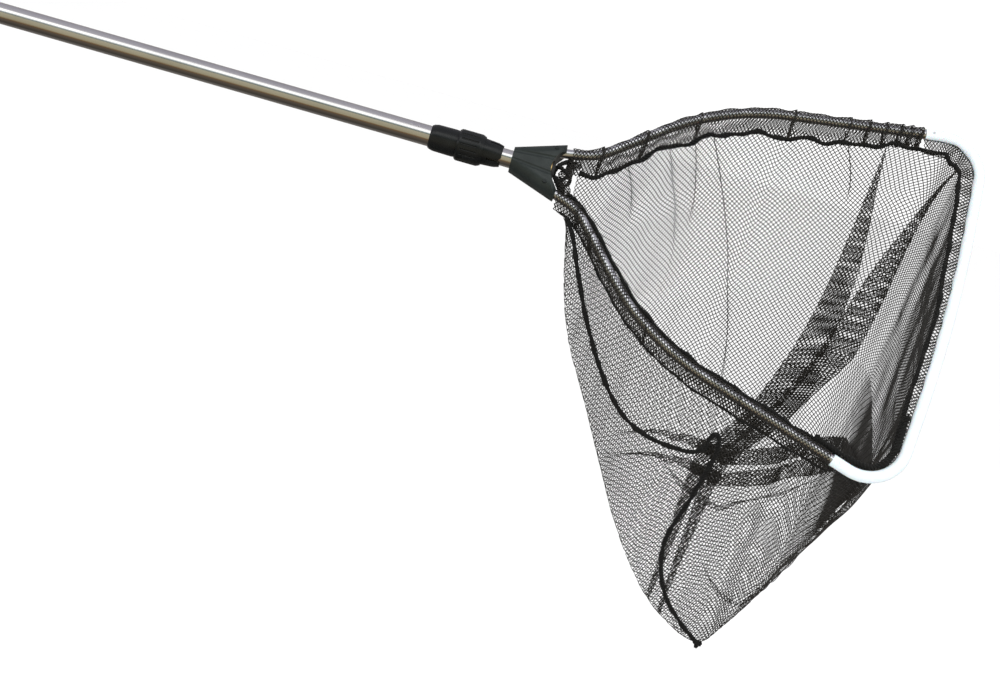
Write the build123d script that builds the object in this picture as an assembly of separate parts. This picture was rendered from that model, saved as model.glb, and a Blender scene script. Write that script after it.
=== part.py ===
from build123d import *
import math
import os

# A landing net: a two-section telescopic pole with a twist lock, a fan-shaped yoke, and a
# fan-shaped hoop of two aluminium arms and a white front bar, with a mesh bag hanging from it.
# Row frame, in millimetres: +X runs along the pole towards the hoop, +Z is up, and the origin
# is on the pole's axis in the middle of the hand grip.

# ---- driving dimensions ----
GRIP_LENGTH = 140.0
GRIP_RADIUS = 15.0
CAP_LENGTH = 14.0
CAP_PLUG_LENGTH = 22.0
HANG_HOLE_RADIUS = 3.0

OUTER_RADIUS = 11.0
OUTER_BORE = 9.8
INNER_RADIUS = 9.5
INNER_BORE = 8.5
SLIDE_GAP = 0.05
INNER_REAR_X = 95.0

TUBE_RIVET_RADIUS = 1.1
TUBE_RIVET_GAPS = (22.0, 14.0)

COLLAR_X = 553.0
COLLAR_RADIUS = 14.2
COLLAR_LENGTH = 29.0
SPIGOT_RADIUS = 14.0
SPIGOT_LENGTH = 20.0
SPIGOT_WALL_X = 596.0
COLLET_FLANGE_RADIUS = 14.0
COLLET_TIP_RADIUS = 12.0
COLLET_X = 602.0
COLLET_FRONT_X = 631.0
COLLET_SLOTS = 4
COLLET_SLOT_WIDTH = 2.0
NUT_X = 582.5
NUT_LENGTH = 28.5
NUT_RADIUS = 17.0
NUT_GROOVES = 18
NUT_GROOVE_RADIUS = 1.1

YOKE_FRONT_X = 695.0
YOKE_REAR_X = 642.0
YOKE_REAR_HALF = 12.8
YOKE_FRONT_HALF = 32.0
YOKE_THICKNESS = 27.0
YOKE_CUT_RADIUS = 27.0
YOKE_CUT_DEPTH = 11.0
FERRULE_RADIUS = 11.0
FERRULE_LENGTH = 7.0
# The tube's mouth stands back from the yoke's front corners, in the hollow of the concave edge.
TUBE_MOUTH_X = 683.0
FERRULE_OVERHANG = 2.0
YOKE_EDGE_RADIUS = 11.0
# Shallow flutes along both faces of the yoke: half their spacing at the rear and the front.
FLUTE_REAR = 4.5
FLUTE_FRONT = 10.5
FLUTE_RADIUS = 4.0
FLUTE_DEPTH = 0.8
YOKE_PIN_RADIUS = 2.0
YOKE_PIN_PLACE = (-12.0, 20.7)

HOOP_ROLL = 60.0
HOOP_DROOP = 4.5
ARM_RADIUS = 5.0
ARM_BORE = 3.9
ARM_POINTS = [(-24.0, 17.3), (31.0, 33.0), (139.5, 141.5), (357.0, 195.0)]
ARM_BEND_RADII = (60.0, 260.0)
ARM_SLOPE = (195.0 - 141.5) / (357.0 - 139.5)
SOCKET_DEPTH = 16.0
BAR_RADIUS = 6.25
BAR_BORE = 5.05
BAR_CORNER = (423.4, 211.4)
BAR_APEX = (438.2, 0.0)
BAR_CORNER_RADIUS = 42.0
BAR_BOW_RADIUS = 1700.0
RIVET_RADIUS = 1.5

SLEEVE_BORE = 5.3
SLEEVE_RADIUS = 6.6
SLEEVE_START_SHARE = 0.15
SLEEVE_END_SHARE = 0.94
HEM_INSET = 9.4
HEM_RADIUS = 2.4
BAG_WALL = 1.5
BAG_RIM_DROP = 9.0
KNOT_RADIUS = 4.5
KNOT_DROP = 5.0

POLE = Axis((0, 0, 0), (1, 0, 0))
ROLL = Rotation(HOOP_ROLL, 0, 0)
YOKE_FRAME = Pos(YOKE_FRONT_X, 0, 0) * ROLL
HOOP_FRAME = YOKE_FRAME * Rotation(0, 0, -HOOP_DROOP)


def save(name, shape):
    export_step(shape, f"parts/{name}.step")


def rod(start, length, radius):
    """A round bar along the pole."""
    return Pos(start, 0, 0) * Rotation(0, 90, 0) * Cylinder(
        radius, length, align=(Align.CENTER, Align.CENTER, Align.MIN))


def pipe(start, length, radius, bore):
    return rod(start, length, radius) - rod(start, length, bore)


def turned(profile):
    """A solid turned about the pole from (x, radius) points."""
    face = make_face(Plane.XY * Polyline(*profile, close=True))
    return revolve(face, POLE)


def around_pole(shape, count, first=0.0):
    """Copies of a shape, evenly spaced about the pole."""
    step = 360.0 / count
    return [Rotation(first + step * turn, 0, 0) * shape for turn in range(count)]


# ---- handle ----

def end_cap():
    front = -GRIP_LENGTH / 2
    rear = front - CAP_LENGTH
    plug_end = front + CAP_PLUG_LENGTH
    cap = turned([
        (rear, 0), (rear, GRIP_RADIUS - 4.0), (rear + 1.2, GRIP_RADIUS - 1.6), (rear + 4.0, GRIP_RADIUS),
        (front, GRIP_RADIUS), (front, OUTER_BORE), (plug_end, OUTER_BORE), (plug_end, 0)])
    hole = Pos(rear + CAP_LENGTH / 2, 0, 0) * Rotation(90, 0, 0) * Cylinder(
        HANG_HOLE_RADIUS, 3 * GRIP_RADIUS)
    return cap - hole


def hand_grip():
    grip = pipe(-GRIP_LENGTH / 2, GRIP_LENGTH, GRIP_RADIUS, OUTER_RADIUS)
    rims = grip.edges().filter_by(GeomType.CIRCLE).filter_by(lambda e: e.radius > OUTER_RADIUS + 1)
    return chamfer(rims, 1.5)


def outer_tube():
    rear = -GRIP_LENGTH / 2
    tube = pipe(rear, SPIGOT_WALL_X - rear, OUTER_RADIUS, OUTER_BORE)
    for rivet in rivet_stems():
        tube = tube - rivet
    return tube


def collar_body():
    """The rear sleeve of the lock, fixed on the outer tube, with the spigot the nut turns on."""
    end = COLLAR_X + COLLAR_LENGTH
    front = end + SPIGOT_LENGTH
    return turned([
        (COLLAR_X, OUTER_RADIUS), (COLLAR_X, COLLAR_RADIUS - 2.2), (COLLAR_X + 2, COLLAR_RADIUS - 1.0),
        (COLLAR_X + 6, COLLAR_RADIUS), (end - 8, COLLAR_RADIUS + 0.3), (end - 2, COLLAR_RADIUS + 0.3),
        (end, COLLAR_RADIUS), (end, SPIGOT_RADIUS), (front, SPIGOT_RADIUS),
        (front, INNER_RADIUS + 1.0), (SPIGOT_WALL_X, INNER_RADIUS + 1.0), (SPIGOT_WALL_X, OUTER_RADIUS)])


def rivet_stems():
    """Two small blind rivets in the outer tube, just behind the collar."""
    stem = Pos(0, 0, OUTER_RADIUS - 1.0) * Cylinder(
        TUBE_RIVET_RADIUS, 1.5, align=(Align.CENTER, Align.CENTER, Align.MIN))
    return [Pos(COLLAR_X - gap, 0, 0) * Rotation(HOOP_ROLL - 15, 0, 0) * stem for gap in TUBE_RIVET_GAPS]


def tube_rivets():
    return Compound(rivet_stems())


def collet():
    """The split nose that grips the inner tube when the nut draws up on it."""
    bore = INNER_RADIUS + SLIDE_GAP
    nose = turned([
        (COLLET_X, bore), (COLLET_X, COLLET_FLANGE_RADIUS), (NUT_X + NUT_LENGTH, COLLET_FLANGE_RADIUS),
        (COLLET_FRONT_X - 6, COLLET_TIP_RADIUS + 1.0), (COLLET_FRONT_X, COLLET_TIP_RADIUS - 0.6),
        (COLLET_FRONT_X, bore)])
    slot_length = COLLET_FRONT_X - COLLET_X
    slot = Pos(COLLET_FRONT_X, 0, COLLET_FLANGE_RADIUS) * Box(
        slot_length, COLLET_SLOT_WIDTH, 2 * COLLET_FLANGE_RADIUS - bore)
    mouth = Pos(COLLET_FRONT_X, 0, COLLET_FLANGE_RADIUS) * Rotation(0, 0, 45) * Box(
        5.0, 5.0, 2 * COLLET_FLANGE_RADIUS - bore)
    for cut in around_pole(slot, COLLET_SLOTS, 25.0) + around_pole(mouth, COLLET_SLOTS, 25.0):
        nose = nose - cut
    return nose


def lock_nut():
    """The ribbed nut of the twist lock, which turns on the collar's spigot."""
    front = NUT_X + NUT_LENGTH
    bore = SPIGOT_RADIUS + SLIDE_GAP
    nut = turned([
        (NUT_X, bore), (NUT_X, NUT_RADIUS - 1.6), (NUT_X + 2.0, NUT_RADIUS), (front - 4.0, NUT_RADIUS),
        (front, NUT_RADIUS - 1.8), (front, bore)])
    groove = rod(NUT_X + 4.0, NUT_LENGTH - 10.0, NUT_GROOVE_RADIUS)
    for cut in around_pole(Pos(0, 0, NUT_RADIUS + 0.3) * groove, NUT_GROOVES):
        nut = nut - cut
    return nut


# ---- sliding section ----

def inner_tube():
    return pipe(INNER_REAR_X, TUBE_MOUTH_X - INNER_REAR_X, INNER_RADIUS, INNER_BORE)


def guide_bush():
    """The plastic bush on the inner tube's tail, which runs in the outer tube."""
    bush = pipe(INNER_REAR_X, 24.0, OUTER_BORE - SLIDE_GAP, INNER_RADIUS)
    stop = pipe(INNER_REAR_X - 3.0, 3.0, OUTER_BORE - SLIDE_GAP, INNER_BORE)
    return bush + stop


def yoke_outline():
    """The yoke's fan outline in its own plane, with the concave front edge."""
    rear = YOKE_REAR_X - YOKE_FRONT_X
    fan = make_face(Polyline((rear, -YOKE_REAR_HALF), (0, -YOKE_FRONT_HALF), (4, 0),
                             (0, YOKE_FRONT_HALF), (rear, YOKE_REAR_HALF), close=True))
    cut = Pos(YOKE_CUT_RADIUS - YOKE_CUT_DEPTH, 0) * Circle(YOKE_CUT_RADIUS)
    return fan - cut


def arm_line():
    """The arm's centre line in the hoop's plane, on its upper side."""
    points = ARM_POINTS[:-1] + [socket_end()]
    return FilletPolyline(*points, radius=list(ARM_BEND_RADII))


def socket_end():
    x, y = ARM_POINTS[-1]
    return (x + SOCKET_DEPTH, y + SOCKET_DEPTH * ARM_SLOPE)


def along(line, outer, bore=0.0):
    """A round section, hollow if it has a bore, swept along a line."""
    plane = Plane(origin=line @ 0, z_dir=line % 0)
    section = plane * Circle(outer)
    if bore:
        section = section - plane * Circle(bore)
    return sweep(section, path=line)


def sides(shape):
    """The shape placed on the hoop's upper side, and its mirror image on the lower side."""
    return HOOP_FRAME * shape, HOOP_FRAME * mirror(shape, about=Plane.XZ)


def yoke():
    """The moulded fan that joins the pole to the arms: a bore for the inner tube, a bore for
    each arm, and a concave front."""
    body = extrude(yoke_outline(), YOKE_THICKNESS / 2, both=True)
    long_edges = body.edges().filter_by(Axis.Z, reverse=True).filter_by(
        lambda e: abs(e.center().Y) > YOKE_REAR_HALF)
    body = fillet(long_edges, YOKE_EDGE_RADIUS)
    for flute in flutes():
        body = body - flute
    body = YOKE_FRAME * body
    body = body - rod(YOKE_REAR_X - 5, YOKE_FRONT_X - YOKE_REAR_X + 20, INNER_RADIUS)
    body = body - rod(ferrule_start(), 40.0, FERRULE_RADIUS)
    for arm in sides(along(arm_line(), ARM_RADIUS)):
        body = body - arm
    for pin in yoke_pin_rods():
        body = body - pin
    return body


def flutes():
    """Round-bottomed grooves that fan out along the yoke's two faces."""
    rear = YOKE_REAR_X - YOKE_FRONT_X
    height = YOKE_THICKNESS / 2 - FLUTE_DEPTH + FLUTE_RADIUS
    made = []
    for face in (1, -1):
        for side in (1, -1):
            path = Line((rear - 4, side * FLUTE_REAR, face * height), (6, side * FLUTE_FRONT, face * height))
            made.append(along(path, FLUTE_RADIUS))
    return made


def ferrule_start():
    return TUBE_MOUTH_X + FERRULE_OVERHANG - FERRULE_LENGTH


def yoke_pin_rods():
    """The pins that hold the arms in the yoke, square to its plane."""
    x, y = YOKE_PIN_PLACE
    pin = Cylinder(YOKE_PIN_RADIUS, YOKE_THICKNESS + 1.0)
    return [HOOP_FRAME * Pos(x, side * y, 0) * pin for side in (1, -1)]


def yoke_pins():
    return Compound(yoke_pin_rods())


def ferrule():
    """The brass ring on the inner tube's mouth, seen in the yoke's concave front."""
    return pipe(ferrule_start(), FERRULE_LENGTH, FERRULE_RADIUS, INNER_RADIUS)


def tube_plug():
    """The dark plug that closes the inner tube's mouth, with a domed end."""
    plug = rod(TUBE_MOUTH_X - 16.0, 16.0, INNER_BORE)
    dome = rod(TUBE_MOUTH_X, 6.0, INNER_RADIUS)
    dome = fillet(dome.edges().group_by(Axis.X)[-1], 4.0)
    return plug + dome


# ---- hoop ----

def arms():
    tube = along(arm_line(), ARM_RADIUS, ARM_BORE)
    cuts = yoke_pin_rods() + rivet_rods()
    placed = []
    for arm in sides(tube):
        for cut in cuts:
            arm = arm - cut
        placed.append(arm)
    return placed


def bar_line():
    x, y = ARM_POINTS[-1]
    corner_x, corner_y = BAR_CORNER
    points = [(x, y), (corner_x, corner_y), BAR_APEX, (corner_x, -corner_y), (x, -y)]
    radii = [BAR_CORNER_RADIUS, BAR_BOW_RADIUS, BAR_CORNER_RADIUS]
    return FilletPolyline(*points, radius=radii)


def rivet_rods():
    """One rivet through each bar end and the arm inside it, square to the hoop's plane."""
    x, y = ARM_POINTS[-1]
    inset = 8.0
    places = [(x + inset, side * (y + inset * ARM_SLOPE)) for side in (1, -1)]
    return [HOOP_FRAME * Pos(px, py, 0) * Cylinder(RIVET_RADIUS, 2 * BAR_RADIUS + 0.8) for px, py in places]


def front_bar():
    bar = HOOP_FRAME * along(bar_line(), BAR_RADIUS, BAR_BORE)
    for rivet in rivet_rods():
        bar = bar - rivet
    return bar


def bar_rivets():
    return Compound(rivet_rods())


# ---- bag ----

def sleeve_line():
    """The stretch of an arm that the bag's sleeve covers."""
    return arm_line().trim(SLEEVE_START_SHARE, SLEEVE_END_SHARE)


def hem_sleeves():
    return sides(along(sleeve_line(), SLEEVE_RADIUS, SLEEVE_BORE))


def front_hem():
    """The bag's corded hem along the inside of the front bar."""
    x, y = ARM_POINTS[-1]
    corner_x, corner_y = BAR_CORNER
    inner = HEM_INSET
    points = [(x, y - inner), (corner_x - inner, corner_y - inner * 1.15), (BAR_APEX[0] - inner, 0.0),
              (corner_x - inner, inner * 1.15 - corner_y), (x, inner - y)]
    radius = BAR_CORNER_RADIUS - inner
    line = FilletPolyline(*points, radius=[radius, BAR_BOW_RADIUS, radius])
    return HOOP_FRAME * along(line, HEM_RADIUS)


# Stations of the bag from the yoke to the front bar. Each has the rim's place in the hoop's
# plane and the place of the bag's lower fold, measured from the yoke's front, in the row frame.
BAG_STATIONS = [
    ((20.0, 0.0), (24.0, -12.0, -50.0)),
    ((60.0, 48.0), (38.0, -26.0, -130.0)),
    ((105.0, 90.0), (62.0, -26.0, -175.0)),
    ((170.0, 131.0), (92.0, -20.0, -225.0)),
    ((250.0, 157.0), (130.0, -12.0, -292.0)),
    ((345.0, 181.0), (180.0, -6.0, -368.0)),
    ((385.0, 187.0), (234.0, 0.0, -425.0)),
    ((403.0, 178.0), (288.0, 0.0, -452.0)),
    ((412.0, 157.0), (332.0, -4.0, -386.0)),
    ((419.0, 80.0), (370.0, -20.0, -306.0)),
    ((422.0, 0.0), (396.0, -48.0, -220.0)),
]
FAR_BULGE = 26.0
NEAR_BULGE = -12.0


def rim_point(x, y):
    spot = (HOOP_FRAME * Pos(x, y, -BAG_RIM_DROP)).position
    return Vector(spot.X, spot.Y, spot.Z)


def bag_rows():
    """Rows of points, one per station: upper rim, upper wall, lower fold, lower wall, lower rim."""
    rows = []
    last = len(BAG_STATIONS) - 1
    for index, ((x, y), fold) in enumerate(BAG_STATIONS):
        bottom = Vector(*fold) + Vector(YOKE_FRONT_X, 0, 0)
        upper = rim_point(x, y)
        lower = rim_point(x, -y)
        swell = math.sin(math.pi * index / last)
        far = (upper + bottom) * 0.5 + Vector(0, FAR_BULGE * swell, 0)
        near = (lower + bottom) * 0.5 + Vector(0, NEAR_BULGE * swell, 0)
        if index in (0, last):
            near = far
        rows.append([upper, far, bottom, near, lower])
    return rows


def triangles_of(rows):
    """Triangles between neighbouring rows, as index triples, with folded ends left out."""
    keys, points = {}, []

    def key(point):
        mark = (round(point.X, 4), round(point.Y, 4), round(point.Z, 4))
        if mark not in keys:
            keys[mark] = len(points)
            points.append(point)
        return keys[mark]

    grid = [[key(point) for point in row] for row in rows]
    faces = []
    for here, there in zip(grid, grid[1:]):
        for column in range(len(here) - 1):
            a, b, c, d = here[column], there[column], there[column + 1], here[column + 1]
            faces += [tri for tri in ((a, b, c), (a, c, d)) if len(set(tri)) == 3]
    rim = [row[0] for row in grid] + [row[-1] for row in reversed(grid)][1:-1]
    return points, faces, rim


def net_bag():
    """The bag as a thin closed shell with an open mouth."""
    points, faces, rim = triangles_of(bag_rows())
    normals = [Vector(0, 0, 0) for _ in points]
    for a, b, c in faces:
        across = (points[b] - points[a]).cross(points[c] - points[a])
        for corner in (a, b, c):
            normals[corner] = normals[corner] + across
    inner = [point - normal.normalized() * BAG_WALL for point, normal in zip(points, normals)]
    walls = [Face(Wire.make_polygon([points[i] for i in tri])) for tri in faces]
    walls += [Face(Wire.make_polygon([inner[i] for i in reversed(tri)])) for tri in faces]
    for a, b in zip(rim, rim[1:] + rim[:1]):
        walls.append(Face(Wire.make_polygon([points[a], points[b], inner[b]])))
        walls.append(Face(Wire.make_polygon([points[a], inner[b], inner[a]])))
    return Solid(Shell(walls))


def bag_knot():
    """The gathered and knotted tail at the bag's lowest point."""
    x, y, z = BAG_STATIONS[7][1]
    return Pos(YOKE_FRONT_X + x, y, z - KNOT_DROP) * Sphere(KNOT_RADIUS)


os.makedirs("parts", exist_ok=True)
save("end_cap", end_cap())
save("hand_grip", hand_grip())
save("outer_tube", outer_tube())
save("collar_body", collar_body())
save("tube_rivets", tube_rivets())
save("collet", collet())
save("lock_nut", lock_nut())
save("inner_tube", inner_tube())
save("guide_bush", guide_bush())
save("yoke", yoke())
save("yoke_pins", yoke_pins())
save("ferrule", ferrule())
save("tube_plug", tube_plug())
upper_arm, lower_arm = arms()
save("upper_arm", upper_arm)
save("lower_arm", lower_arm)
save("front_bar", front_bar())
save("bar_rivets", bar_rivets())
upper_sleeve, lower_sleeve = hem_sleeves()
save("upper_sleeve", upper_sleeve)
save("lower_sleeve", lower_sleeve)
save("front_hem", front_hem())
save("net_bag", net_bag())
save("bag_knot", bag_knot())
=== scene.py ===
import math

import bpy
import numpy as np
from mathutils import Matrix, Vector


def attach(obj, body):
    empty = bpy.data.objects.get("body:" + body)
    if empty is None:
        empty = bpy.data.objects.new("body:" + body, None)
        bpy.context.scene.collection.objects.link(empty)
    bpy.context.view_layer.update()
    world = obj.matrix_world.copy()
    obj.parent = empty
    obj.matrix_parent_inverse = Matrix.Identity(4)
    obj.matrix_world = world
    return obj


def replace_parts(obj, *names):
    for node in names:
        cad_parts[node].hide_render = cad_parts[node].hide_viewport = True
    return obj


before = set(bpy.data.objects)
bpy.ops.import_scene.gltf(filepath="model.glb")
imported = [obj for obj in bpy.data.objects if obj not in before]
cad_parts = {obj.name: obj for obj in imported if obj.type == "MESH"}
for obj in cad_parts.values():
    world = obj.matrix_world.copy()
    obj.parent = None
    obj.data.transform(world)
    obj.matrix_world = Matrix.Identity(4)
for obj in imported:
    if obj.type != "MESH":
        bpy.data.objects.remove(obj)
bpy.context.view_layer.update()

# The looks of a landing net: metal, plastic and rubber finishes on the CAD pieces, and the netting made
# of real threads. The frame is in metres: +X along the pole, +Z up. The netting is worked out in
# millimetres from the yoke's front point, and turned into metres where its meshes are made.
MM = 0.001
YOKE_FRONT = np.array([695.0, 0.0, 0.0])
DOWN = np.array([0.0, 0.0, -1.0])

# ---- the hoop's centre line, as the CAD arms and bar have it ----
HOOP_ROLL = math.radians(60.0)
HOOP_DROOP = math.radians(4.5)
HOOP_CORNERS = [(-24.0, 17.3), (31.0, 33.0), (139.5, 141.5), (423.4, 211.4), (438.2, 0.0)]
HOOP_BENDS = [60.0, 260.0, 42.0, 1700.0]
TUBE_RADIUS = 5.0
BAR_RADIUS = 6.25
BAR_START = 434.0
LINE_STEP = 2.0


# ---- line and frame helpers ----

def unit(vectors):
    vectors = np.asarray(vectors, float)
    return vectors / np.maximum(np.linalg.norm(vectors, axis=-1, keepdims=True), 1e-9)


def smooth(low, high, value):
    """0 below low, 1 above high, and a smooth step between."""
    share = np.clip((np.asarray(value, float) - low) / (high - low), 0, 1)
    return share * share * (3 - 2 * share)


def bell(value, middle, width):
    return np.exp(-((np.asarray(value, float) - middle) / width) ** 2)


def lengths_along(line):
    steps = np.linalg.norm(np.diff(line, axis=0), axis=1)
    return np.concatenate([[0], np.cumsum(steps)])


def on_line(line, along, where):
    """The points of a line at the given lengths along it."""
    return np.stack([np.interp(where, along, line[:, k]) for k in range(line.shape[1])], axis=-1)


def even(line, step):
    """The same line with evenly spaced points."""
    along = lengths_along(line)
    count = max(2, int(round(along[-1] / step)) + 1)
    return on_line(line, along, np.linspace(0, along[-1], count))


def curve_through(points, step=LINE_STEP):
    """A smooth line through the points (Catmull-Rom), evenly spaced."""
    points = np.array(points, float)
    padded = np.concatenate([[2 * points[0] - points[1]], points, [2 * points[-1] - points[-2]]])
    pieces = []
    share = np.linspace(0, 1, 16, endpoint=False)[:, None]
    for a, b, c, d in zip(padded, padded[1:], padded[2:], padded[3:]):
        pieces.append(0.5 * (2 * b + (c - a) * share + (2 * a - 5 * b + 4 * c - d) * share ** 2
                             + (3 * b - a - 3 * c + d) * share ** 3))
    return even(np.concatenate(pieces + [points[-1:]]), step)


def rounded_line(corners, radii, step=LINE_STEP):
    """Straight runs joined by arcs of the given radii."""
    corners = [np.array(c, float) for c in corners]
    line = [corners[0]]
    for before, corner, after, radius in zip(corners, corners[1:], corners[2:], radii):
        back = unit(before - corner)
        ahead = unit(after - corner)
        turn = math.acos(float(np.clip(-back @ ahead, -1, 1)))
        reach = radius * math.tan(turn / 2)
        centre = corner + unit(back + ahead) * radius / math.cos(turn / 2)
        start = corner + back * reach - centre
        end = corner + ahead * reach - centre
        for share in np.linspace(0, 1, max(3, int(radius * turn / step))):
            line.append(centre + (math.sin((1 - share) * turn) * start + math.sin(share * turn) * end)
                        / math.sin(turn))
    line.append(corners[-1])
    return even(np.array(line), step)


# ---- the hoop in the row frame ----

ROLL = np.array(Matrix.Rotation(HOOP_ROLL, 3, "X"))
HOOP_AXES = ROLL @ np.array(Matrix.Rotation(-HOOP_DROOP, 3, "Z"))
HOOP_NORMAL = HOOP_AXES[:, 2]
half_hoop = rounded_line(HOOP_CORNERS, HOOP_BENDS)
HALF_ALONG = lengths_along(half_hoop)
HALF_LENGTH = HALF_ALONG[-1]


def hoop_point(p, side):
    """A point of the hoop's centre line, p mm from the yoke along the upper (1) or lower (-1) side."""
    flat = on_line(half_hoop, HALF_ALONG, p)
    return np.stack([flat[..., 0], side * flat[..., 1], 0 * flat[..., 0]], axis=-1) @ HOOP_AXES.T


def hoop_tangent(p, side):
    return unit(hoop_point(np.asarray(p) + 1.0, side) - hoop_point(np.asarray(p) - 1.0, side))


def hoop_inward(p, side):
    """Towards the inside of the hoop, in its plane."""
    return side * np.cross(HOOP_NORMAL, hoop_tangent(p, side)) * -1.0


# ---- cloth: a surface read by millimetres along its rim (p) and down from it (q) ----

class Cloth:
    """Sections side by side, each a line from the rim down. A point is found by p and q."""

    def __init__(self, places, sections, step=LINE_STEP):
        self.places = np.asarray(places, float)
        self.step = step
        self.depths = np.array([lengths_along(s)[-1] for s in sections])
        rows = int(self.depths.max() / step) + 2
        depths = np.arange(rows) * step
        self.grid = np.stack([on_line(s, lengths_along(s), depths) for s in sections])

    def depth(self, p):
        return np.interp(p, self.places, self.depths)

    def at(self, p, q):
        spacing = self.places[1] - self.places[0]
        q = np.minimum(q, self.depth(p))
        u = np.clip((p - self.places[0]) / spacing, 0, len(self.places) - 1.001)
        v = np.clip(q / self.step, 0, self.grid.shape[1] - 1.001)
        i, j = u.astype(int), v.astype(int)
        fu, fv = (u - i)[..., None], (v - j)[..., None]
        g = self.grid
        return ((g[i, j] * (1 - fu) + g[i + 1, j] * fu) * (1 - fv)
                + (g[i, j + 1] * (1 - fu) + g[i + 1, j + 1] * fu) * fv)

    def normal(self, p, q):
        near = 3.0
        along = self.at(p + near, q) - self.at(p - near, q)
        deep = np.minimum(q, self.depth(p) - 2 * near)
        down = self.at(p, deep + near) - self.at(p, np.maximum(deep - near, 0))
        return unit(np.cross(along, down))


# ---- the bag's rim, fold and walls ----

NET_START = 42.0
NET_END = 2 * HALF_LENGTH - NET_START
COLUMN_STEP = 4.0
# How wide the doubled band of netting inside the front bar is, on the upper and the lower half.
UPPER_BAND = [(425, 15), (480, 17), (560, 12), (700, 11)]
LOWER_BAND = [(425, 4), (480, 5), (560, 8), (700, 11)]
# The hem passes from below the arm to inside the bar over these places, and lies this far back of the hoop.
HEM_TO_BAND = (425.0, 470.0)
BAND_SET_BACK = 3.0
# How far the walls swell away from the camera and towards it, and the points along one section.
FAR_REACH = 48.0
NEAR_REACH = 26.0
SECTION_POINTS = 60
# How far the hem hangs below the arm's centre line. The upper one hangs lower in a few bunches, given as
# (place along the arm, half the length, how much lower), and is drawn up towards the bar.
UPPER_HEM_DROP = 22.0
UPPER_HEM_AT_BAR = 16.0
HEM_DRAWN_UP = (345.0, 410.0)
UPPER_HEM_BUNCHES = [(90, 22, 5), (170, 18, 3), (285, 9, 4)]
LOWER_HEM = [(50, 14), (120, 17), (300, 18), (400, 15), (450, 12), (700, 12)]
# The bag's lower fold: where it is for each place along the rim, from the yoke's front.
FOLD = [(40, (20, -12, -44)), (70, (36, -24, -110)), (100, (57, -26, -165)), (150, (92, -20, -225)),
        (205, (130, -12, -292)), (250, (165, -6, -352)), (305, (212, 0, -413)), (352, (255, 0, -445)),
        (395, (290, 0, -455)), (430, (310, -2, -430)), (468, (340, -6, -374)), (515, (366, -18, -312)),
        (570, (388, -34, -250)), (625, (402, -38, -196)), (684, (416, -30, -140))]
FOLD_PLACES = [place for place, point in FOLD]
FOLD_POINTS = np.array([point for place, point in FOLD], float)


def hem_drop(p, side):
    if side < 0:
        return np.interp(p, [a for a, b in LOWER_HEM], [b for a, b in LOWER_HEM])
    drop = UPPER_HEM_DROP + (UPPER_HEM_AT_BAR - UPPER_HEM_DROP) * smooth(*HEM_DRAWN_UP, p)
    for place, half_length, lower in UPPER_HEM_BUNCHES:
        drop = drop + lower * bell(p, place, half_length)
    return drop


def band_width(p, side):
    table = UPPER_BAND if side > 0 else LOWER_BAND
    return np.interp(p, [a for a, b in table], [b for a, b in table])


def rim(p, side):
    """Where a wall leaves its hem: below an arm, and inside the front bar."""
    p = np.asarray(p, float)
    under = DOWN * hem_drop(p, side)[..., None]
    inside = hoop_inward(p, side) * (BAR_RADIUS + band_width(p, side))[..., None]
    inside = inside - HOOP_NORMAL * BAND_SET_BACK
    share = smooth(*HEM_TO_BAND, p)[..., None]
    return hoop_point(p, side) + under * (1 - share) + inside * share


fold_line = curve_through(FOLD_POINTS)
fold_along = lengths_along(fold_line)
fold_marks = [fold_along[np.argmin(np.linalg.norm(fold_line - point, axis=1))] for point in FOLD_POINTS]


def fold(p):
    return on_line(fold_line, fold_along, np.interp(p, FOLD_PLACES, fold_marks))


def wall_section(p, side):
    """One line of the wall from its rim to the fold, swelling to its own side."""
    top = rim(p, side)
    bottom = fold(p)
    fall = bottom - top
    length = np.linalg.norm(fall)
    swell = math.sin(math.pi * np.clip((p - NET_START) / (HALF_LENGTH - NET_START), 0, 1)) ** 0.7
    sideways = np.array([0.0, 1.0, 0.0]) * (side * swell)
    reach = FAR_REACH if side > 0 else NEAR_REACH
    first = top + fall * 0.30 + sideways * reach + DOWN * length * 0.06
    second = bottom - fall * 0.30 + sideways * reach * 0.55 - DOWN * length * 0.05
    share = np.linspace(0, 1, SECTION_POINTS)[:, None]
    return (top * (1 - share) ** 3 + 3 * first * share * (1 - share) ** 2
            + 3 * second * share ** 2 * (1 - share) + bottom * share ** 3)


def make_bag():
    """The bag's cloth, from the yoke round the upper arm, the bar and the lower arm, back to the yoke."""
    count = int((NET_END - NET_START) / COLUMN_STEP) + 1
    places = np.linspace(NET_START, NET_END, count)
    sections = []
    for p in places:
        upper = p < HALF_LENGTH
        sections.append(wall_section(p if upper else 2 * HALF_LENGTH - p, 1 if upper else -1))
    return Cloth(places, sections)


bag = make_bag()


# ---- the bag's folds ----

# Small pleats that run down from the rim: the place where each starts, how far it leans towards the bar,
# how deep it reaches, and the width of the stretch where the cloth lies in three layers.
SMALL_PLEATS = [(100, 30, 85, 3.0), (150, 55, 160, 2.5), (180, 30, 110, 3.5), (200, 120, 330, 4.0),
                (350, 25, 70, 3.0)]
PLEAT_BEND = 1.5
FULL_WIDTH_SHARE = 0.7
# The two big pleats draw together low in the bag: the place where each starts, how far it leans towards
# the yoke near the rim, and how far it leans again on its way down to BIG_PLEAT_DEPTH.
BIG_PLEATS = [(392, 0, 80), (500, 75, 95)]
BIG_PLEAT_DEPTH = 370.0
RIM_LEAN_DEPTH = 80.0
LOW_LEAN_POWER = 4
BIG_PLEAT_WIDTHS = [(0, 3), (60, 15), (150, 36), (240, 48), (320, 41), (430, 25), (600, 9)]
FOLD_STEPS = 16


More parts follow.
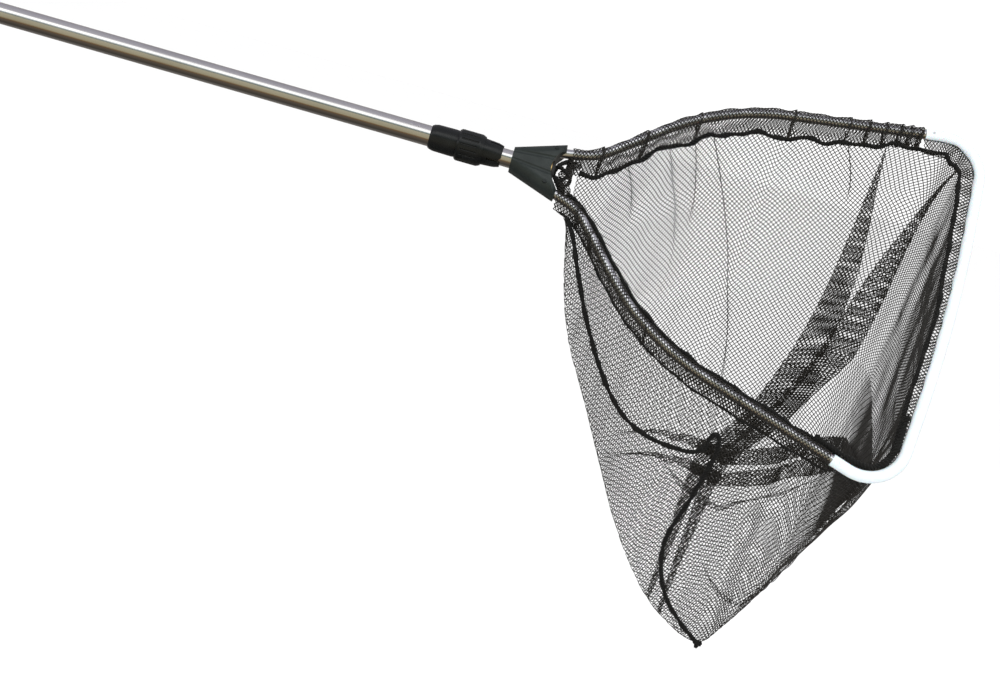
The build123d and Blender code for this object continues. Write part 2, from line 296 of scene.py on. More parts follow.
def small_pleat(place, lean, reach, width):
    """A small pleat's path, as (depth, place), and its widths, as (depth, width)."""
    depths = np.linspace(0, reach, FOLD_STEPS)
    places = place + lean * (1 - (1 - depths / reach) ** PLEAT_BEND)
    return list(zip(depths, places)), [(0, width), (FULL_WIDTH_SHARE * reach, width), (reach, 0)]


def big_pleat(place, rim_lean, low_lean):
    """A big pleat's path and widths, in the same form."""
    depths = np.linspace(0, BIG_PLEAT_DEPTH, FOLD_STEPS)
    places = (place - rim_lean * (1 - np.exp(-depths / RIM_LEAN_DEPTH))
              - low_lean * (depths / BIG_PLEAT_DEPTH) ** LOW_LEAN_POWER)
    return list(zip(depths, places)), BIG_PLEAT_WIDTHS


PLEATS = [small_pleat(*pleat) for pleat in SMALL_PLEATS] + [big_pleat(*pleat) for pleat in BIG_PLEATS]
FOLD_ROUND = 1.0
RIPPLE = 0.7


def ramp(value):
    """0 below 0 and the value above it, with a rounded corner."""
    return 0.5 * (value + np.sqrt(value * value + FOLD_ROUND ** 2))


def read(table, where):
    return np.interp(where, [a for a, b in table], [b for a, b in table])


def pleated(place, depth, pleats=PLEATS):
    """Where a point of the flat cloth lies along the rim once it is pleated, and how far it stands off."""
    off = np.zeros_like(place)
    for path, widths in pleats:
        width = np.maximum(read(widths, depth), 0.01)
        inside = place - read(path, depth)
        height = np.minimum(width, 2.0 + 0.12 * width)
        spread = 0.7 * width + 1.0
        off = off + height * (bell(inside, width, spread) - bell(inside, 2 * width, spread))
        place = place - 2 * (ramp(inside - width) - ramp(inside - 2 * width))
    return place, off


# Folds that run across the bag low on its far wall: the path as (place along the rim, depth), and the
# width as (place, width).
FAR_FOLDS = [
    ([(290, 345), (350, 362), (420, 356), (500, 318), (600, 270)],
     [(200, 0), (390, 23), (480, 23), (680, 0)]),
    ([(290, 371), (350, 388), (420, 382), (500, 342), (600, 292)],
     [(200, 0), (390, 22), (480, 22), (680, 0)]),
]
# Folds across the near wall: the middle's place and depth, half the length, how far the ends rise above
# it, the slope, and the width.
NEAR_FOLDS = [(1050, 97, 50, 12, 0.0, 7.0), (990, 60, 60, 0, 1.0, 5.0), (940, 205, 90, 45, 0.0, 5.0)]


def near_fold(middle, depth, half_length, rise, slope, width):
    """A fold's path across the near wall, as (place, depth), and its widths, as (place, width)."""
    places = np.linspace(middle - half_length, middle + half_length, FOLD_STEPS)
    depths = depth + slope * (places - middle) - rise * ((places - middle) / half_length) ** 2
    widths = [(middle - half_length, 0), (middle - half_length / 2, width),
              (middle + half_length / 2, width), (middle + half_length, 0)]
    return list(zip(places, depths)), widths


CROSS_FOLDS = FAR_FOLDS + [near_fold(*fold) for fold in NEAR_FOLDS]
# Past the big pleats the diamonds open sideways, which gives back this share of the cloth they took up.
NET_GIVE = 0.75
NET_GIVE_PLACES = (520.0, 1000.0)


def bag_surface(cloth_p, cloth_q):
    """The bag's points and normals for points of its flat cloth, and which of them are on it."""
    p, off = pleated(cloth_p, cloth_q)
    p = p + NET_GIVE * (cloth_p - p) * smooth(*NET_GIVE_PLACES, p)
    q, lift = pleated(cloth_q, p, CROSS_FOLDS)
    ripple = RIPPLE * (np.sin(p / 9.1 + 1.7 * np.sin(q / 61.0)) + 0.8 * np.sin(p / 5.3 + q / 37.0)
                       + 0.7 * np.sin(q / 11.0 + p / 43.0))
    ripple = ripple * (1 - 0.7 * bell(p, 660, 170)) * smooth(0, 40, q) * smooth(0, 30, bag.depth(p) - q)
    normal = bag.normal(p, q)
    points = bag.at(p, q) + normal * (off + lift + ripple)[..., None]
    inside = (q < bag.depth(p) + NET_PITCH) & (p <= NET_END + 0.1)
    return points, normal, inside


# ---- threads ----

NET_PITCH = 2.7
THREAD_SIDES = 3
THREAD_RADIUS = 0.50
# A guess to match tone: with the full thread, two layers of netting come out too dark in front.
NEAR_WALL_RADIUS = 0.37


def runs(mask):
    """The first and last index of each run of True values, at least two long."""
    edges = np.flatnonzero(np.diff(np.concatenate([[0], mask.astype(int), [0]])))
    return [(a, b) for a, b in zip(edges[::2], edges[1::2]) if b - a >= 2]


def diagonal_threads(surface, columns, rows):
    """Threads that cross a cloth diagonally both ways and meet at its knots, as (points, normals) lines.
    Columns and rows are ranges of whole pitches, so that two pieces of one cloth share their knots."""
    i = np.arange(columns[0], columns[1] + 1)
    j = np.arange(rows[0], rows[1] + 1)
    cloth_p, cloth_q = np.meshgrid(i * NET_PITCH, j * NET_PITCH, indexing="ij")
    points, normals, inside = surface(cloth_p, cloth_q)
    lines = []
    for flip in (False, True):
        grids = [g[:, ::-1] if flip else g for g in (points, normals, inside)]
        odd = (i[0] + (j[-1] if flip else j[0])) % 2
        for offset in range(-len(i) + 1, len(j)):
            if (offset + odd) % 2:
                continue
            line = [np.moveaxis(np.diagonal(g, offset), -1, 0) for g in grids]
            for a, b in runs(line[2]):
                lines.append((line[0][a:b], line[1][a:b]))
    return lines


def tube_arrays(lines, radius, sides=THREAD_SIDES):
    """Vertices and faces of closed tubes along the lines. The radius is one value, or one for each point."""
    turns = np.arange(sides) * 2 * math.pi / sides
    vertices, faces, first = [], [], 0
    for points, normals in lines:
        count = len(points)
        ahead = unit(np.gradient(points, axis=0))
        across = unit(np.cross(ahead, normals))
        out = np.cross(across, ahead)
        radii = np.broadcast_to(radius, (count,))
        ring = (np.cos(turns)[None, :, None] * out[:, None] + np.sin(turns)[None, :, None] * across[:, None])
        vertices.append((points[:, None] + ring * radii[:, None, None]).reshape(-1, 3))
        base = first + np.arange(count - 1)[:, None] * sides
        here = np.arange(sides)[None, :]
        there = (here + 1) % sides
        quads = np.stack([base + here, base + there, base + there + sides, base + here + sides], axis=-1)
        faces += quads.reshape(-1, 4).tolist()
        faces.append(list(range(first + sides - 1, first - 1, -1)))
        faces.append(list(range(first + (count - 1) * sides, first + count * sides)))
        first += count * sides
    return np.concatenate(vertices), faces


def make_piece(name, vertices, faces, material):
    """A smooth mesh from millimetres measured from the yoke's front, riding on the head."""
    mesh = bpy.data.meshes.new(name)
    mesh.from_pydata(((vertices + YOKE_FRONT) * MM).tolist(), [], faces)
    mesh.polygons.foreach_set("use_smooth", [True] * len(mesh.polygons))
    mesh.materials.append(material)
    piece = bpy.data.objects.new(name, mesh)
    bpy.context.scene.collection.objects.link(piece)
    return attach(piece, "head")


def cut_size(surface, columns, rows):
    """Width and depth in metres of the part of the flat cloth that lies inside these columns and rows."""
    cloth_p, cloth_q = np.meshgrid(np.arange(columns[0], columns[1] + 1) * NET_PITCH,
                                   np.arange(rows[0], rows[1] + 1) * NET_PITCH, indexing="ij")
    inside = surface(cloth_p, cloth_q)[2]
    width = np.ptp(cloth_p[inside])
    depth = np.ptp(cloth_q[inside])
    return width * MM, depth * MM


# ---- materials ----

def new_material(name, **sockets):
    """A material whose constants are set on the shader's own sockets."""
    material = bpy.data.materials.new(name)
    material.use_nodes = True
    shader = material.node_tree.nodes["Principled BSDF"]
    for socket, value in sockets.items():
        shader.inputs[socket.replace("_", " ")].default_value = value
    return material


def add_node(material, kind, **settings):
    node = material.node_tree.nodes.new(kind)
    for setting, value in settings.items():
        if setting in node.inputs:
            node.inputs[setting].default_value = value
        else:
            setattr(node, setting, value)
    return node


def join(material, source, target):
    material.node_tree.links.new(source, target)


def texture(material, kind, stretch=(1, 1, 1), **settings):
    """A texture on the piece's own coordinates in metres, stretched along each axis."""
    coordinates = add_node(material, "ShaderNodeTexCoord")
    mapping = add_node(material, "ShaderNodeMapping")
    mapping.inputs["Scale"].default_value = stretch
    node = add_node(material, kind, **settings)
    join(material, coordinates.outputs["Object"], mapping.inputs["Vector"])
    join(material, mapping.outputs["Vector"], node.inputs["Vector"])
    return node.outputs[0]


def spread_to(material, value, low, high, target, start=0.35, end=0.65):
    """Drives a number socket from low to high by a texture."""
    node = add_node(material, "ShaderNodeMapRange")
    for name, number in (("From Min", start), ("From Max", end), ("To Min", low), ("To Max", high)):
        node.inputs[name].default_value = number
    join(material, value, node.inputs["Value"])
    join(material, node.outputs["Result"], shader_of(material).inputs[target])


def shader_of(material):
    return material.node_tree.nodes["Principled BSDF"]


def colours(material, value, stops):
    """Drives the base colour by a texture, through stops of (place, colour)."""
    node = add_node(material, "ShaderNodeValToRGB")
    ramp_stops = node.color_ramp.elements
    while len(ramp_stops) < len(stops):
        ramp_stops.new(0.5)
    for element, (place, colour) in zip(ramp_stops, stops):
        element.position = place
        element.color = (*colour, 1)
    join(material, value, node.inputs["Fac"])
    join(material, node.outputs["Color"], shader_of(material).inputs["Base Color"])


def relief(material, value, strength, distance):
    node = add_node(material, "ShaderNodeBump", Strength=strength, Distance=distance)
    join(material, value, node.inputs["Height"])
    join(material, node.outputs["Normal"], shader_of(material).inputs["Normal"])


def drawn_aluminium(name, colour, roughness):
    """Drawn tube: fine lines along the pole, and faint cloudy patches."""
    material = new_material(name, Metallic=1.0, Anisotropic=0.35)
    cloud = texture(material, "ShaderNodeTexNoise", (6, 14, 14), Scale=3.0, Detail=4.0)
    tint = np.array(colour)
    dark, light = tuple(tint * 0.93), tuple(np.minimum(tint * 1.05, 1))
    colours(material, cloud, [(0.3, dark), (0.5, tuple(tint)), (0.75, light)])
    lines = texture(material, "ShaderNodeTexNoise", (4, 900, 900), Scale=1.0, Detail=3.0)
    spread_to(material, lines, roughness * 0.75, roughness * 1.45, "Roughness")
    relief(material, lines, 0.12, 0.00015)
    return material


def moulded_plastic(name, dark, light, roughness, grain=900.0, bump=0.12, **sockets):
    """Moulded plastic: fine grain, faint colour drift, and handled spots that shine more."""
    material = new_material(name, **sockets)
    drift = texture(material, "ShaderNodeTexNoise", Scale=38.0, Detail=5.0, Roughness=0.6)
    colours(material, drift, [(0.3, dark), (0.72, light)])
    rub = texture(material, "ShaderNodeTexNoise", Scale=95.0, Detail=3.0)
    spread_to(material, rub, roughness * 0.8, roughness * 1.25, "Roughness")
    fine = texture(material, "ShaderNodeTexNoise", Scale=grain, Detail=2.0)
    relief(material, fine, bump, 0.0002)
    return material


def foam_rubber(name):
    """Closed-cell foam: small pits in a matt, slightly mottled skin."""
    material = new_material(name, Sheen_Weight=0.15, Sheen_Roughness=0.6, Specular_IOR_Level=0.3)
    pits = texture(material, "ShaderNodeTexVoronoi", Scale=650.0)
    mottle = texture(material, "ShaderNodeTexNoise", Scale=120.0, Detail=6.0)
    colours(material, mottle, [(0.3, (0.014, 0.014, 0.015)), (0.75, (0.034, 0.034, 0.036))])
    spread_to(material, mottle, 0.72, 0.95, "Roughness")
    relief(material, pits, 0.45, 0.0004)
    return material


def thread_material(name, colour):
    """Waxy knotless nylon twine. Its colour is a constant, as a thread is thinner than any pattern on it."""
    return new_material(name, Base_Color=(*colour, 1), Roughness=0.55, Sheen_Weight=0.06,
                        Sheen_Roughness=0.45, Specular_IOR_Level=0.4)


def cord_material(name):
    """The hem's gathered black cord: twisted fibres, slightly uneven in colour."""
    material = new_material(name, Sheen_Weight=0.04, Sheen_Roughness=0.5, Specular_IOR_Level=0.2)
    fibre = texture(material, "ShaderNodeTexNoise", Scale=900.0, Detail=4.0)
    colours(material, fibre, [(0.3, (0.003, 0.003, 0.003)), (0.7, (0.014, 0.014, 0.013))])
    spread_to(material, fibre, 0.6, 0.9, "Roughness")
    relief(material, fibre, 0.5, 0.0003)
    return material


tube_metal = drawn_aluminium("polished_aluminium", (0.86, 0.85, 0.83), 0.16)
arm_metal = drawn_aluminium("arm_aluminium", (0.80, 0.81, 0.83), 0.24)
lock_plastic = moulded_plastic("lock_plastic", (0.003, 0.004, 0.004), (0.008, 0.009, 0.009), 0.26,
                               Specular_IOR_Level=0.35)
yoke_plastic = moulded_plastic("yoke_plastic", (0.009, 0.013, 0.012), (0.019, 0.025, 0.023), 0.38,
                               grain=1500.0, Specular_IOR_Level=0.4)
bush_plastic = moulded_plastic("bush_plastic", (0.05, 0.05, 0.05), (0.08, 0.08, 0.08), 0.5)
white_plastic = moulded_plastic("white_plastic", (0.66, 0.73, 0.76), (0.74, 0.80, 0.82), 0.32,
                                grain=500.0, bump=0.05, Subsurface_Weight=0.15, Subsurface_Scale=0.002,
                                Coat_Weight=0.2, Coat_Roughness=0.2)
grip_foam = foam_rubber("grip_foam")
cap_rubber = moulded_plastic("cap_rubber", (0.012, 0.012, 0.012), (0.024, 0.024, 0.024), 0.7, grain=1400.0,
                             bump=0.2)
brass = drawn_aluminium("brass_ring", (0.72, 0.52, 0.22), 0.25)
rivet_steel = drawn_aluminium("rivet_steel", (0.85, 0.85, 0.86), 0.22)
black_steel = new_material("black_steel", Metallic=0.6, Roughness=0.45, Base_Color=(0.02, 0.024, 0.023, 1))
netting = thread_material("netting", (0.018, 0.016, 0.013))
hem_black = cord_material("hem_cord")

NODE_MATERIALS = {
    "outer_tube": tube_metal, "inner_tube": tube_metal, "upper_arm": arm_metal, "lower_arm": arm_metal,
    "collar_body": lock_plastic, "collet": lock_plastic, "lock_nut": lock_plastic, "yoke": yoke_plastic,
    "guide_bush": bush_plastic, "front_bar": white_plastic, "hand_grip": grip_foam, "end_cap": cap_rubber,
    "tube_plug": cap_rubber, "ferrule": brass, "tube_rivets": rivet_steel, "yoke_pins": black_steel,
    "bar_rivets": rivet_steel,
}
for node_name, material in NODE_MATERIALS.items():
    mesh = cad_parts[node_name].data
    mesh.materials.clear()
    mesh.materials.append(material)


# ---- netting pieces ----

def whole_pitches(low, high):
    return math.floor(low / NET_PITCH), math.ceil(high / NET_PITCH)


def net_piece(name, surface, columns, rows, radius=THREAD_RADIUS):
    """One piece of netting made of real threads; the size of its flat cut is worked out but not used."""
    lines = diagonal_threads(surface, columns, rows)
    vertices, faces = tube_arrays(lines, radius)
    piece = make_piece(name, vertices, faces, netting)
    cut_size(surface, columns, rows)
    return piece


# Where the netting is divided into pieces, along its top edge. The real net has no seams here: the
# divisions keep each mesh small, and each piece's flat cut near enough to a rectangle.
PANEL_CUTS = [42, 205, 455, 845, 1400]
# The folds that run across take up some depth, so the flat cloth reaches this much deeper than the bag.
FOLDED_DEPTH = 110.0


def make_bag_panels():
    """The bag in panels side by side, which share their knots where they meet."""
    rows = whole_pitches(0.0, float(bag.depths.max()) + FOLDED_DEPTH)
    for number, (start, end) in enumerate(zip(PANEL_CUTS, PANEL_CUTS[1:]), 1):
        columns = (math.floor(start / NET_PITCH), math.floor(end / NET_PITCH))
        panel = net_piece(f"bag_panel_{number}", bag_surface, columns, rows,
                          radius=NEAR_WALL_RADIUS if end == PANEL_CUTS[-1] else THREAD_RADIUS)
        if number == 1:
            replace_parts(panel, "net_bag")


# ---- hems, sleeves and cords of the bag ----

SLEEVE_START = 32.0
SLEEVE_END = 430.0
SLEEVE_RADIUS = TUBE_RADIUS + 0.9
# The share of its flat length that gathered netting keeps.
GATHERED = 0.72
# Gathers round the arm: place along it and the width of cloth each one takes up.
UPPER_GATHERS = [(60, 4), (112, 5), (178, 4), (283, 4), (345, 3), (365, 5), (384, 5), (400, 6), (411, 6),
                 (422, 6)]
LOWER_GATHERS = [(58, 5), (90, 3), (200, 3), (320, 3)]
SEAM_RADIUS = 2.7
LOWER_SEAM_RADIUS = 1.3
BAG_SEAM_RADIUS = 2.7
CORNER_RADIUS = 3.6
STRAND_TURN = 11.0
# The dark cord that closes the near wall, as (place along the rim, depth): it sags from the yoke, stands
# up in one narrow loop, and falls to the tail knot, which is on the fold at KNOT_PLACE.
SEAM_RUN = [(1320, 0), (1240, 50), (1160, 78), (1085, 62)]
SEAM_FALL = [(1055, 100), (1060, 180), (1030, 245)]
SEAM_LOOP_PLACE = 1057.0
SEAM_LOOP_FOOT = 46.0
SEAM_LOOP_HALF_WIDTH = 7.0
SEAM_LOOP_HEIGHT = 20.0
SEAM_LOOP_STEPS = 7
KNOT_PLACE = 395
KNOT_SIZE = 1.5
KNOT_CORD = 1.3
# The netting gathered beside the yoke: its length along the bundle and the way round it.
THROAT_CLOTH = 78.0
THROAT_GIRTH = 43.2


def teardrop(place, radius, drop):
    """A cloth round a tube whose sides meet below it: the point at a length from the top of its section."""
    leave = math.pi - np.arccos(radius / drop)
    flank = np.sqrt(drop * drop - radius * radius)
    length = np.minimum(np.abs(place), radius * leave + flank)
    round_part = np.minimum(length / radius, leave)
    down_flank = (length - radius * round_part) / flank
    out = radius * np.sin(round_part)
    fall = -radius * np.cos(round_part)
    return np.sign(place) * out * (1 - down_flank), fall + (drop - fall) * down_flank


def half_girth(radius, drop):
    return radius * (math.pi - np.arccos(radius / drop)) + np.sqrt(drop * drop - radius * radius)


def gathers(places):
    return [([(0, place)], [(0, width)]) for place, width in places]


def sleeve_surface(side, folds):
    """Netting wrapped over an arm, its two edges sewn together under it."""
    def surface(cloth_p, cloth_v):
        p, off = pleated(SLEEVE_START + (cloth_p - SLEEVE_START) * GATHERED, cloth_v, folds)
        drop = hem_drop(p, side)
        out, fall = teardrop(cloth_v, SLEEVE_RADIUS, drop)
        across = unit(np.cross(hoop_tangent(p, side), DOWN))
        normal = unit(across * out[..., None] + DOWN * (fall - drop * 0.3)[..., None])
        ripple = 0.5 * np.sin(p / 4.1 + cloth_v / 6.0) + 0.4 * np.sin(p / 7.7)
        points = hoop_point(p, side) + across * out[..., None] + DOWN * fall[..., None]
        inside = (np.abs(cloth_v) <= half_girth(SLEEVE_RADIUS, drop) + NET_PITCH) & (p <= SLEEVE_END)
        return points + normal * (0.8 * off + ripple + 0.5)[..., None], normal, inside
    return surface


def bar_place(p):
    """The hoop's point, its inward direction and the band's width, for a place counted on round the bar."""
    upper = (np.asarray(p) < HALF_LENGTH)[..., None]
    low = np.minimum(p, 2 * HALF_LENGTH - p)
    point = np.where(upper, hoop_point(low, 1), hoop_point(low, -1))
    inward = np.where(upper, hoop_inward(low, 1), hoop_inward(low, -1))
    return point, inward, np.where(upper[..., 0], band_width(low, 1), band_width(low, -1))


def band_surface(cloth_p, cloth_v):
    """The doubled band of netting between the front bar and the cord inside it."""
    p = SLEEVE_END + (cloth_p - SLEEVE_END) * GATHERED
    point, inward, width = bar_place(p)
    out, fall = teardrop(cloth_v, 1.6, width)
    ripple = 0.9 * np.sin(p / 6.1) + 0.7 * np.sin(p / 3.7 + cloth_v / 5.0)
    points = (point + inward * (BAR_RADIUS + 1.2 + fall)[..., None]
              + HOOP_NORMAL * (out + ripple - BAND_SET_BACK * np.clip(fall / width, 0, 1))[..., None])
    inside = (np.abs(cloth_v) <= half_girth(1.6, width) + NET_PITCH) & (p < 2 * HALF_LENGTH - BAR_START)
    return points, np.broadcast_to(HOOP_NORMAL, points.shape), inside


def twisted_strands(line, radius, strands=3, lumps=0.12, step=2.0):
    """The strands of a twisted cord along a line, and each strand's radius at its points."""
    line = even(np.asarray(line, float), step)
    along = lengths_along(line)
    ahead = unit(np.gradient(line, axis=0))
    side = unit(np.cross(ahead, np.array([0.31, -0.89, 0.33])))
    other = np.cross(ahead, side)
    swell = 1 + lumps * (np.sin(along / 5.3) + np.sin(along / 3.1 + 1.0))
    made = []
    for number in range(strands):
        turn = 2 * math.pi * (along / STRAND_TURN + number / strands)
        out = side * np.cos(turn)[:, None] + other * np.sin(turn)[:, None]
        made.append((line + out * (radius * 0.5 * swell)[:, None], out, radius * 0.58 * swell))
    return made


def cord_piece(name, lines, material, sides=7):
    """One piece of twisted cords, each given as (line, radius)."""
    all_vertices, all_faces, first = [], [], 0
    for line, radius in lines:
        for points, normals, radii in twisted_strands(line, radius):
            vertices, faces = tube_arrays([(points, normals)], radii, sides)
            all_vertices.append(vertices)
            all_faces += [[corner + first for corner in face] for face in faces]
            first += len(vertices)
    return make_piece(name, np.concatenate(all_vertices), all_faces, material)


def wavy(p, size=1.0):
    """A small wander off a seam's line."""
    return (DOWN * (1.2 * np.sin(p / 8.3) + 0.8 * np.sin(p / 4.7 + 1.3))[:, None]
            + np.array([0.0, 1.0, 0.0]) * (0.9 * np.sin(p / 11.0))[:, None]) * size


def upper_seam_line():
    p = np.arange(NET_START + 2, HALF_LENGTH, 2.0)
    return rim(p, 1) + wavy(p, 1.4)


def bar_seam_and_arm_shade_line():
    """The cord inside the bar's lower half, then along the inside of the lower arm to the yoke, where the
    dark cord also stands in for the shade on the arm's inner edge.
    """
    p = np.arange(HALF_LENGTH, SLEEVE_START + 6, -2.0)
    # Along the lower arm the dark cord stands in for the shade on the arm's inner edge.
    on_arm = hoop_point(p, -1) + hoop_inward(p, -1) * (TUBE_RADIUS + 2.6)
    on_bar = hoop_point(p, -1) + hoop_inward(p, -1) * (BAR_RADIUS + band_width(p, -1))[:, None]
    on_bar = on_bar - HOOP_NORMAL * BAND_SET_BACK
    share = smooth(405.0, 450.0, p)[:, None]
    return on_arm * (1 - share) + on_bar * share + wavy(p, 0.6)


def corner_gather_line():
    """The thick bunch where the hem turns the near corner of the bar."""
    p = np.arange(405.0, 560.0, 2.0)
    return hoop_point(p, -1) + hoop_inward(p, -1) * (BAR_RADIUS + CORNER_RADIUS + 0.6) + wavy(p, 0.5)


def lower_seam_line():
    p = np.arange(SLEEVE_START + 6, SLEEVE_END, 2.0)
    return rim(p, -1) + wavy(p, 0.5)


def bag_seam_line():
    """The seam laid on the outside of the near wall."""
    turn = np.linspace(0, math.pi, SEAM_LOOP_STEPS)
    loop = list(zip(SEAM_LOOP_PLACE + SEAM_LOOP_HALF_WIDTH * np.cos(turn),
                    SEAM_LOOP_FOOT - SEAM_LOOP_HEIGHT * np.sin(turn)))
    tail = 2 * HALF_LENGTH - KNOT_PLACE
    route = SEAM_RUN + loop + SEAM_FALL + [(tail, float(bag.depth(tail)))]
    path = curve_through([(p, q, 0.0) for p, q in route])
    p, q = path[:, 0], path[:, 1]
    outward = bag.normal(p, q)
    outward = outward * -np.sign(outward[:, 1:2])
    return bag.at(p, q) + outward * (BAG_SEAM_RADIUS + 0.6)


def throat_lines():
    """Gathered cords that close the bag's mouth beside the yoke."""
    top = hoop_point(np.array([SLEEVE_START]), 1)[0]
    low = hoop_point(np.array([SLEEVE_START]), -1)[0]
    middle = (top + low) / 2
    back = np.array([-1.4, 0.0, 0.0])
    ahead = np.array([1.0, 0.0, 0.0])
    near = np.array([0.0, -1.0, 0.0])
    return [
        (curve_through([top + DOWN * 7, top * 0.7 + low * 0.3 + back * 7 + near * 3,
                        middle + back * 9 + DOWN * 2, top * 0.25 + low * 0.75 + back * 3,
                        low + DOWN * -6]), 2.6),
        (curve_through([top + DOWN * 8 + ahead * 4, top * 0.65 + low * 0.35 + back * 1,
                        middle + ahead * 2 + near * 4, top * 0.3 + low * 0.7 + back * 4 + near * 4,
                        low + ahead * 5 - DOWN * 6]), 2.4),
        (curve_through([middle + back * 8 - DOWN * 8, middle + near * 6 - DOWN * 3,
                        middle + ahead * 6 + DOWN * 6, middle + back * 1 + DOWN * 12 + near * 2,
                        middle + back * 7 + DOWN * 4]), 2.2),
    ]


def throat_surface(cloth_u, cloth_v):
    """Netting gathered into a lumpy bundle from the upper sleeve to the lower one."""
    top = hoop_point(np.array([SLEEVE_START + 4]), 1)[0] + DOWN * 6
    low = hoop_point(np.array([SLEEVE_START + 4]), -1)[0] - DOWN * 3
    back = np.array([-1.0, 0.0, 0.0])
    line = curve_through([top, top * 0.6 + low * 0.4 + back * 4, top * 0.35 + low * 0.65 + back * 3, low],
                         step=1.0)
    along = lengths_along(line)
    share = cloth_u / THROAT_CLOTH
    point = on_line(line, along, np.clip(share, 0, 1) * along[-1])
    turn = 2 * math.pi * cloth_v / THROAT_GIRTH
    radius = 5.6 + 1.5 * np.sin(cloth_u / 4.7) + 1.4 * np.sin(3 * turn + cloth_u / 9.0)
    ahead = unit(low - top)
    side = unit(np.cross(ahead, np.array([0.0, 1.0, 0.0])))
    other = np.cross(ahead, side)
    out = side * np.cos(turn)[..., None] + other * np.sin(turn)[..., None]
    return point + out * radius[..., None], out, (share <= 1) & (cloth_v <= THROAT_GIRTH + 0.1)


def tail_knot_line():
    """A simple overhand knot in the end of the bag's seam."""
    turn = np.linspace(0, 2 * math.pi, 90)
    shape = np.stack([np.sin(turn) + 2 * np.sin(2 * turn), -np.sin(3 * turn),
                      np.cos(turn) - 2 * np.cos(2 * turn)], axis=-1)
    return shape * KNOT_SIZE + FOLD_POINTS[FOLD_PLACES.index(KNOT_PLACE)] + DOWN * 2.0


def make_hems():
    """Sleeves, band, throat and cords, in place of the CAD's plain ones."""
    cords = cord_piece("hem_cord", [(upper_seam_line(), SEAM_RADIUS), (bar_seam_and_arm_shade_line(), SEAM_RADIUS * 0.92),
                                    (lower_seam_line(), LOWER_SEAM_RADIUS),
                                    (corner_gather_line(), CORNER_RADIUS)] + throat_lines(), hem_black)
    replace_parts(cords, "front_hem")
    seam = cord_piece("bag_seam", [(bag_seam_line(), BAG_SEAM_RADIUS)], hem_black)
    knot = cord_piece("tail_knot", [(tail_knot_line(), KNOT_CORD)], hem_black)
    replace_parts(knot, "bag_knot")
    for name, side, places, node in (("upper_sleeve_net", 1, UPPER_GATHERS, "upper_sleeve"),
                                     ("lower_sleeve_net", -1, LOWER_GATHERS, "lower_sleeve")):
        surface = sleeve_surface(side, gathers(places))
        taken = 2 * sum(width for place, width in places)
        girth = whole_pitches(-35.0, 35.0)
        columns = whole_pitches(SLEEVE_START, SLEEVE_START + (SLEEVE_END - SLEEVE_START + taken) / GATHERED)
        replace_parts(net_piece(name, surface, columns, girth), node)
    band_end = SLEEVE_END + 2 * (HALF_LENGTH - SLEEVE_END) / GATHERED
    net_piece("bar_band_net", band_surface, whole_pitches(SLEEVE_END, band_end),
              whole_pitches(-22.0, 22.0))
    net_piece("throat_net", throat_surface, whole_pitches(0, THROAT_CLOTH), whole_pitches(0, THROAT_GIRTH))


# ---- camera, light and floor ----

CAMERA_SPOT = np.array([-13.4, -1585.9, 105.6])
CAMERA_DOWN = math.radians(10.4)
CAMERA_ROLL = math.radians(15.99)
FLOOR_Z = -1.05
FLOOR_HALF = 30.0
# What a tube along the pole mirrors, as (degrees above the horizon on the camera's side, colour).
STUDIO_BANDS = [
    (-180, (0.30, 0.28, 0.26)), (-90, (0.05, 0.045, 0.04)), (-50, (0.10, 0.08, 0.06)),
    (-38, (0.16, 0.09, 0.04)), (-28, (0.34, 0.30, 0.20)), (14, (0.40, 0.37, 0.27)),
    (24, (0.05, 0.10, 0.10)), (32, (0.55, 0.60, 0.62)), (43, (1.5, 1.5, 1.5)), (55, (1.4, 1.4, 1.4)),
    (64, (0.42, 0.41, 0.46)), (120, (0.32, 0.31, 0.36)), (180, (0.30, 0.28, 0.26)),
]


def make_camera():
    """The view from the net's side, looking down a little, with the camera rolled."""
    data = bpy.data.cameras.new("camera")
    data.lens = 54.0
    data.sensor_width = 36.0
    ahead = np.array([0.0, math.cos(CAMERA_DOWN), -math.sin(CAMERA_DOWN)])
    level_right = np.array([1.0, 0.0, 0.0])
    level_up = np.cross(level_right, ahead)
    right = math.cos(CAMERA_ROLL) * level_right + math.sin(CAMERA_ROLL) * level_up
    up = np.cross(right, ahead)
    camera = bpy.data.objects.new("camera", data)
    matrix = np.eye(4)
    matrix[:3, 0] = right
    matrix[:3, 1] = up
    matrix[:3, 2] = -ahead
    matrix[:3, 3] = (CAMERA_SPOT + YOKE_FRONT) * MM
    camera.matrix_world = Matrix(matrix.tolist())
    bpy.context.scene.collection.objects.link(camera)
    bpy.context.scene.camera = camera


def make_floor():
    data = bpy.data.meshes.new("floor")
    data.from_pydata([(-FLOOR_HALF, -FLOOR_HALF, FLOOR_Z), (FLOOR_HALF, -FLOOR_HALF, FLOOR_Z),
                      (FLOOR_HALF, FLOOR_HALF, FLOOR_Z), (-FLOOR_HALF, FLOOR_HALF, FLOOR_Z)],
                     [], [(0, 1, 2, 3)])
    material = new_material("floor", Base_Color=(0.93, 0.93, 0.93, 1), Roughness=0.9)
    data.materials.append(material)
    floor = bpy.data.objects.new("floor", data)
    bpy.context.scene.collection.objects.link(floor)
    floor.visible_glossy = False


def area_light(name, spot, target, size, power, colour=(1, 1, 1)):
    data = bpy.data.lights.new(name, "AREA")
    data.shape = "RECTANGLE"
    data.size, data.size_y = size
    data.energy = power
    data.color = colour
    light = bpy.data.objects.new(name, data)
    light.location = spot
    light.visible_glossy = False
    light.rotation_euler = (Vector(target) - Vector(spot)).to_track_quat("-Z", "Y").to_euler()
    bpy.context.scene.collection.objects.link(light)


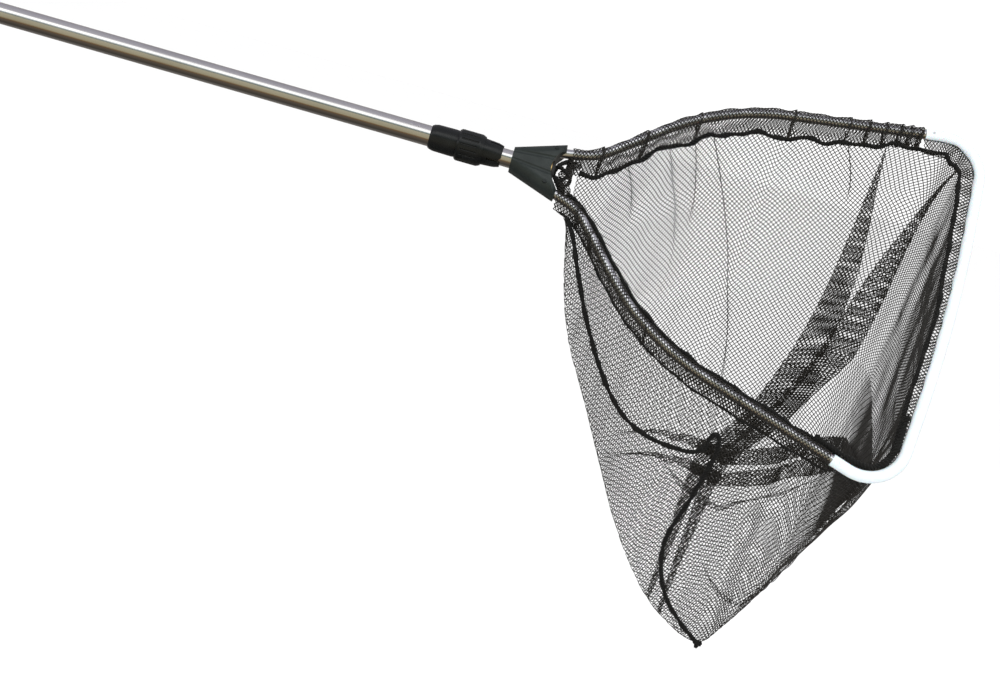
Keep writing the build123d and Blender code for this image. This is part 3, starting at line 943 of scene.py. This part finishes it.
def make_world():
    """White for the eye, and for reflections a studio: grey above, dark below, olive in front."""
    world = bpy.data.worlds.new("studio")
    bpy.context.scene.world = world
    world.use_nodes = True
    tree = world.node_tree
    background = tree.nodes["Background"]
    background.inputs["Strength"].default_value = 1.0
    background.inputs["Color"].default_value = (1.12, 1.12, 1.12, 1)
    reflected = tree.nodes.new("ShaderNodeBackground")
    direction = tree.nodes.new("ShaderNodeTexCoord")
    split = tree.nodes.new("ShaderNodeSeparateXYZ")
    angle = tree.nodes.new("ShaderNodeMath")
    angle.operation = "ARCTAN2"
    minus_y = tree.nodes.new("ShaderNodeMath")
    minus_y.operation = "MULTIPLY"
    minus_y.inputs[1].default_value = -1.0
    scale = tree.nodes.new("ShaderNodeMapRange")
    scale.inputs["From Min"].default_value = -math.pi
    scale.inputs["From Max"].default_value = math.pi
    bands = tree.nodes.new("ShaderNodeValToRGB")
    tree.links.new(direction.outputs["Generated"], split.inputs["Vector"])
    tree.links.new(split.outputs["Y"], minus_y.inputs[0])
    tree.links.new(split.outputs["Z"], angle.inputs[0])
    tree.links.new(minus_y.outputs[0], angle.inputs[1])
    tree.links.new(angle.outputs[0], scale.inputs["Value"])
    tree.links.new(scale.outputs["Result"], bands.inputs["Fac"])
    tree.links.new(bands.outputs["Color"], reflected.inputs["Color"])
    while len(bands.color_ramp.elements) < len(STUDIO_BANDS):
        bands.color_ramp.elements.new(0.5)
    for element, (degrees, colour) in zip(bands.color_ramp.elements, STUDIO_BANDS):
        element.position = (degrees + 180.0) / 360.0
        element.color = (*colour, 1)
    path = tree.nodes.new("ShaderNodeLightPath")
    mix = tree.nodes.new("ShaderNodeMixShader")
    tree.links.new(path.outputs["Is Glossy Ray"], mix.inputs["Fac"])
    tree.links.new(background.outputs[0], mix.inputs[1])
    tree.links.new(reflected.outputs[0], mix.inputs[2])
    tree.links.new(mix.outputs[0], tree.nodes["World Output"].inputs["Surface"])


# ---- the scene ----

make_hems()
make_bag_panels()
make_camera()
make_floor()
make_world()
area_light("key", (0.2, -1.6, 1.9), (0.9, 0.0, 0.0), (1.2, 1.2), 24.0)
area_light("fill", (2.2, -1.2, 0.6), (0.9, 0.0, -0.1), (1.5, 1.5), 10.0)
bpy.context.scene.view_settings.view_transform = "Standard"
